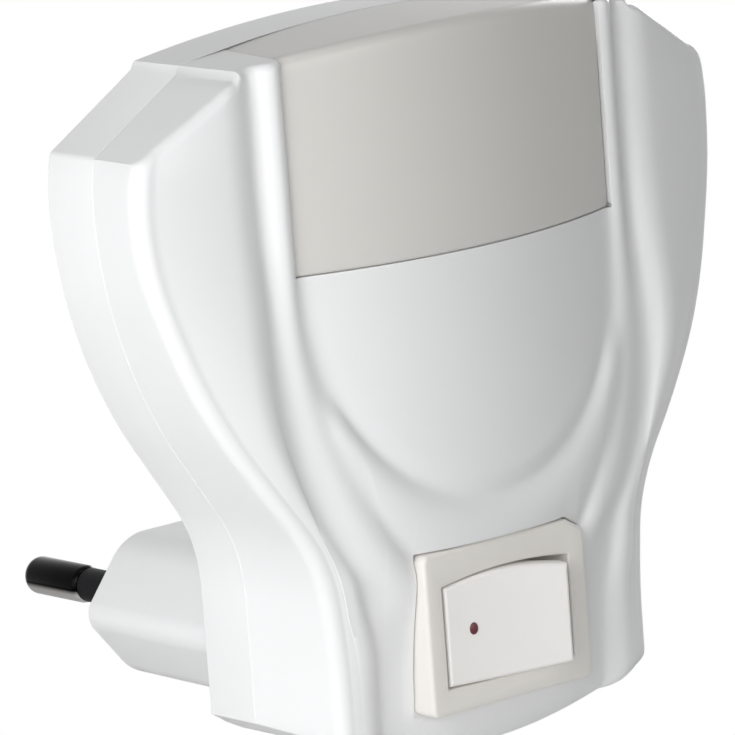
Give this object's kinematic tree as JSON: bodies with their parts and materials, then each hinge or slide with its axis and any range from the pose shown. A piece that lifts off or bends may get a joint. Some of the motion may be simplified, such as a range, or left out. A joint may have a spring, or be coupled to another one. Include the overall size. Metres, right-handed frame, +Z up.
{
  "type": "plug-in night light",
  "caption": "Flat shield-shaped night light on a two-pin plug body, with a milky lens wrapped over the top and a rocker switch set below it.",
  "frame": {"origin": "middle of the plug's engagement face, midway between the two pins", "axes": "+Y points out of the plug face into the wall socket, +Z up, +X to the right when the front is seen from the room"},
  "size_m": [0.0756, 0.0678, 0.0738],
  "materials": {
    "housing": "cool white moulded plastic, soft gloss",
    "lens": "milky translucent",
    "frame": "cream moulded plastic",
    "rocker": "warm white moulded plastic",
    "plunger": "moulded",
    "pin_metal": "nickel-plated brass, mirror",
    "sleeve": "black moulded sleeve",
    "steel": "zinc-plated",
    "brass": "stamped",
    "copper_alloy": "stamped",
    "board": "solder mask",
    "led": "clear epoxy",
    "black_part": "moulded",
    "film_part": "dipped",
    "lead_brown": "flexible insulation",
    "lead_blue": "flexible insulation"
  },
  "bodies": {
    "housing": {"back_housing": "housing", "front_cover": "housing", "lens": "lens", "live_pin": "pin_metal", "neutral_pin": "pin_metal", "live_sleeve": "sleeve", "neutral_sleeve": "sleeve", "pin_retainer": "housing", "retainer_screw": "steel", "switch_frame": "frame", "common_terminal": "brass", "load_terminal": "brass", "receptacles": "brass", "circuit_board": "board", "board_screws": "steel", "leds": "led", "rectifier": "black_part", "smoothing_capacitor": "black_part", "dropper_capacitor": "film_part", "resistors": "film_part", "live_lead": "lead_brown", "switched_lead": "sleeve", "neutral_lead": "lead_blue"},
    "rocker_body": {"rocker": "rocker", "plunger": "plunger", "plunger_spring": "steel"},
    "contact_body": {"contact_arm": "copper_alloy"}
  },
  "joints": [
    {"name": "rocker_switch", "type": "hinge", "parent": "housing", "child": "rocker_body", "pos_m": [0, -0.04175, 0.0016], "axis": [0, 0, 1], "range_deg": [0, 20]},
    {"name": "contact_seesaw", "type": "hinge", "parent": "housing", "child": "contact_body", "pos_m": [0, -0.03425, 0.0016], "axis": [0, 0, 1], "range_deg": [-16, 0]}
  ],
  "couplings": [
    {"joint": "contact_seesaw", "follows": "rocker_switch", "ratio": -0.8}
  ]
}
